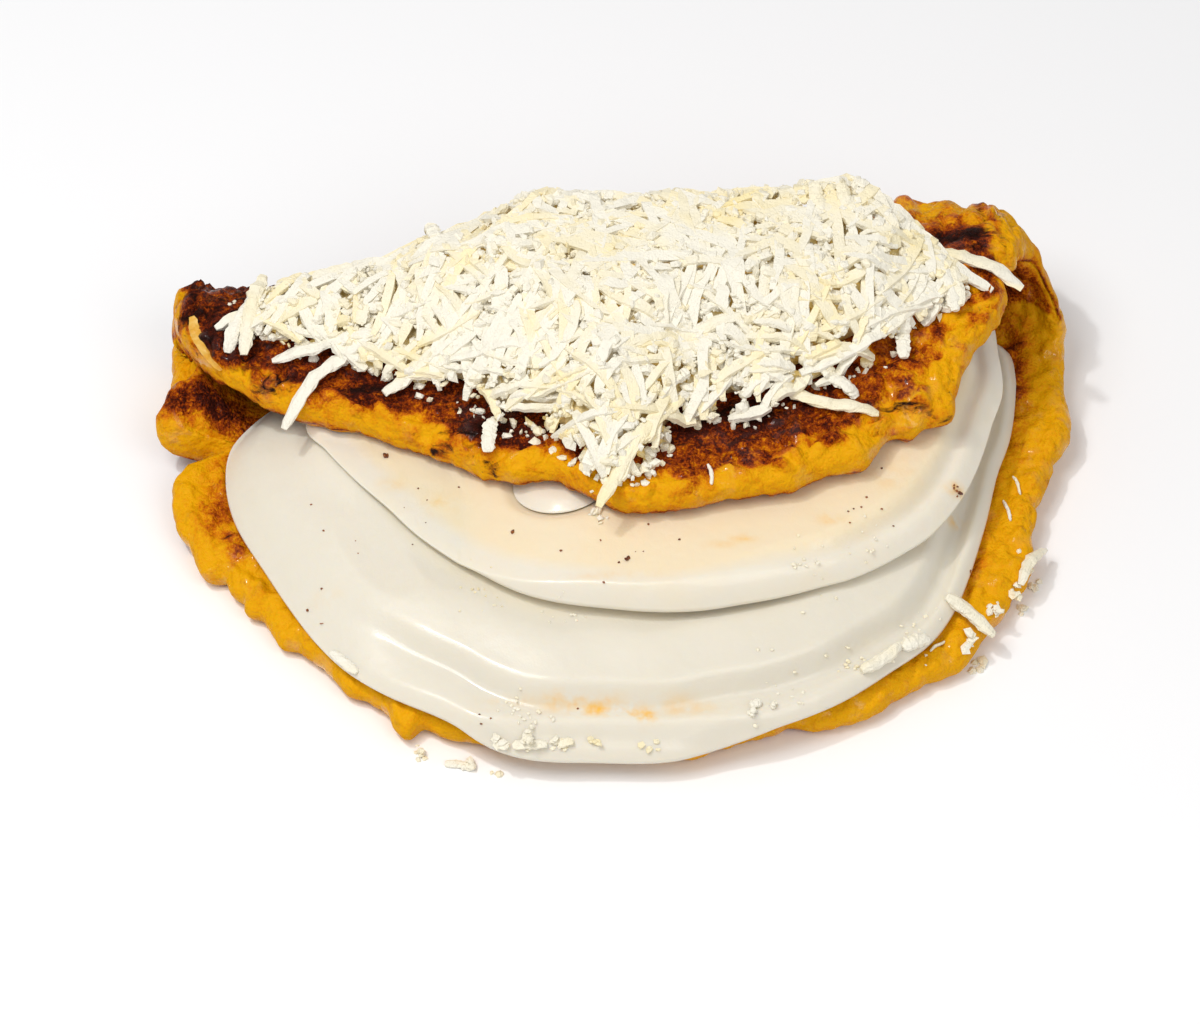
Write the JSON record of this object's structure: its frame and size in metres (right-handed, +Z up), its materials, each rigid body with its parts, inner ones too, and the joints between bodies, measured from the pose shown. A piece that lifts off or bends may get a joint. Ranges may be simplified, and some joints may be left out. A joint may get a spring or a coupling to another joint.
{
  "type": "cachapa",
  "caption": "Thick yellow corn pancake folded in half over slabs of soft white cheese, with a heap of grated white cheese on the top flap.",
  "frame": {"origin": "on the table, under the middle of the whole box", "axes": "+Z up, +Y towards the fold at the back, +X to the right seen from the open front, along the fold"},
  "size_m": [0.222, 0.149, 0.0618],
  "materials": {
    "pancake": "golden corn crust, browned and charred on the flap, glistening with butter",
    "soft_cheese": "smooth, moist and creamy",
    "grated_cheese": "dry and crumbly"
  },
  "bodies": {
    "root": {"corn_pancake": "pancake", "lower_cheese_slab": "soft_cheese", "upper_cheese_slab": "soft_cheese", "small_cheese_slice": "soft_cheese", "grated_cheese": "grated_cheese"}
  },
  "joints": []
}
